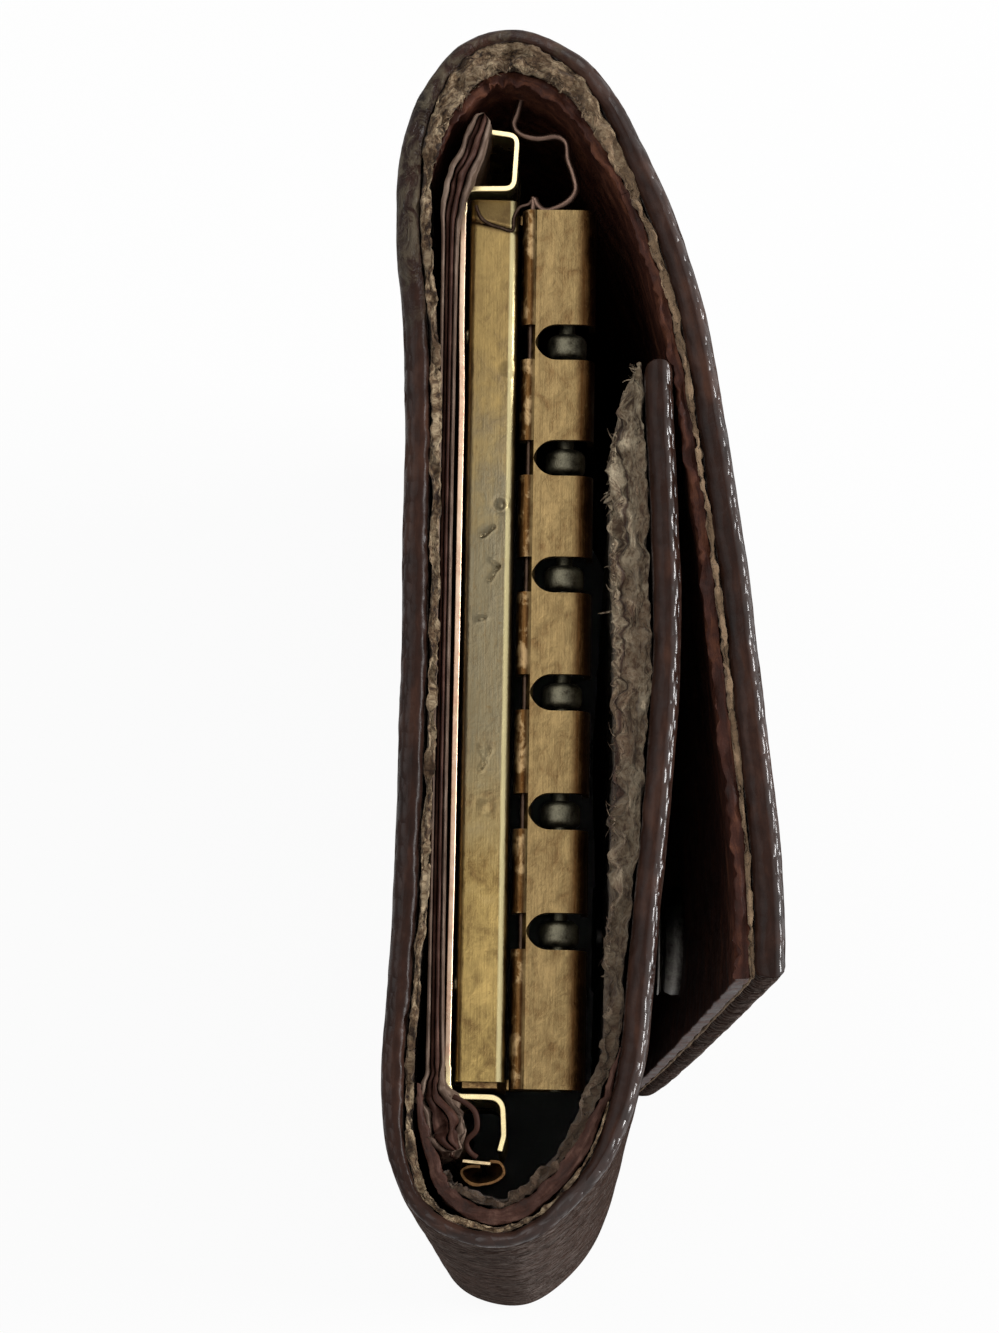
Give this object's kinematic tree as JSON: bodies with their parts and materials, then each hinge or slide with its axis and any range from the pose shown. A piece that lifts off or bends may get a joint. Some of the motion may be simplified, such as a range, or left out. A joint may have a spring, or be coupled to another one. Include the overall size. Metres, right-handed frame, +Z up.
{
  "type": "key wallet",
  "caption": "Folding leather key wallet, closed: back panel with folded flaps and a snap, and inside a brass bar with a slotted hinged lid and wire key hooks.",
  "frame": {"origin": "middle of the wallet's foot: centre of the bounding box in X and Y, at its lowest Z", "axes": "+Z up along the wallet's height to the open rim with the bar, +X along its width to the fold of the outer flap, +Y from the flaps to the back panel"},
  "size_m": [0.0648, 0.021, 0.1],
  "materials": {
    "cover_leather": "glossy, grained, worn",
    "suede_lining": "rough suede, frayed",
    "panel_leather": "satin, worn",
    "bar_brass": "worn, grey patina",
    "dark_wire": "tarnished",
    "hook_steel": "dark, dull",
    "snap_metal": "dull nickel"
  },
  "bodies": {
    "back": {"cover_back": "cover_leather", "lining_back": "suede_lining", "key_panel": "panel_leather", "base_plate": "bar_brass", "bar_frame": "bar_brass", "hinge_wire": "dark_wire", "hook_rod": "dark_wire", "rivet_left": "bar_brass", "rivet_right": "bar_brass"},
    "lid": {"slotted_lid": "bar_brass"},
    "outer_side": {"cover_outer_fold": "cover_leather", "lining_outer_fold": "suede_lining"},
    "outer_flap": {"cover_outer_flap": "cover_leather", "lining_outer_flap": "suede_lining", "snap_cap": "snap_metal", "snap_socket": "snap_metal"},
    "inner_side": {"cover_inner_fold": "cover_leather", "lining_inner_fold": "suede_lining"},
    "inner_flap": {"cover_inner_flap": "cover_leather", "lining_inner_flap": "suede_lining", "snap_stud": "snap_metal", "snap_post": "snap_metal"},
    "hook_1": {"key_hook_1": "hook_steel"},
    "hook_2": {"key_hook_2": "hook_steel"},
    "hook_3": {"key_hook_3": "hook_steel"},
    "hook_4": {"key_hook_4": "hook_steel"},
    "hook_5": {"key_hook_5": "hook_steel"},
    "hook_6": {"key_hook_6": "hook_steel"}
  },
  "joints": [
    {"name": "outer_side_fold", "type": "hinge", "parent": "back", "child": "outer_side", "pos_m": [0.0287, 0.00905, 0], "axis": [0, 0, 1], "range_deg": [0, 90], "deforming": ["cover_outer_fold", "lining_outer_fold"]},
    {"name": "outer_flap_fold", "type": "hinge", "parent": "outer_side", "child": "outer_flap", "pos_m": [0.0287, -0.00266, 0], "axis": [0, 0, 1], "range_deg": [0, 90]},
    {"name": "inner_side_fold", "type": "hinge", "parent": "back", "child": "inner_side", "pos_m": [-0.0287, 0.00905, 0], "axis": [0, 0, -1], "range_deg": [0, 38], "deforming": ["cover_inner_fold", "lining_inner_fold"]},
    {"name": "inner_flap_fold", "type": "hinge", "parent": "inner_side", "child": "inner_flap", "pos_m": [-0.0287, -0.00174, 0], "axis": [0, 0, -1], "range_deg": [0, 38]},
    {"name": "lid_hinge", "type": "hinge", "parent": "back", "child": "lid", "pos_m": [0, 0.0031, 0.0964], "axis": [-1, 0, 0], "range_deg": [0, 90]},
    {"name": "hook_1_swing", "type": "hinge", "parent": "back", "child": "hook_1", "pos_m": [-0.01588, 0.00115, 0.09525], "axis": [1, 0, 0], "range_deg": [-4, 10]},
    {"name": "hook_2_swing", "type": "hinge", "parent": "back", "child": "hook_2", "pos_m": [-0.00953, 0.00115, 0.09525], "axis": [1, 0, 0], "range_deg": [-4, 10]},
    {"name": "hook_3_swing", "type": "hinge", "parent": "back", "child": "hook_3", "pos_m": [-0.00317, 0.00115, 0.09525], "axis": [1, 0, 0], "range_deg": [-4, 10]},
    {"name": "hook_4_swing", "type": "hinge", "parent": "back", "child": "hook_4", "pos_m": [0.00317, 0.00115, 0.09525], "axis": [1, 0, 0], "range_deg": [-4, 10]},
    {"name": "hook_5_swing", "type": "hinge", "parent": "back", "child": "hook_5", "pos_m": [0.00953, 0.00115, 0.09525], "axis": [1, 0, 0], "range_deg": [-4, 10]},
    {"name": "hook_6_swing", "type": "hinge", "parent": "back", "child": "hook_6", "pos_m": [0.01588, 0.00115, 0.09525], "axis": [1, 0, 0], "range_deg": [-4, 10]}
  ],
  "couplings": [
    {"joint": "outer_flap_fold", "follows": "outer_side_fold", "ratio": 1},
    {"joint": "inner_side_fold", "follows": "outer_side_fold", "ratio": 0.42},
    {"joint": "inner_flap_fold", "follows": "outer_side_fold", "ratio": 0.42}
  ]
}
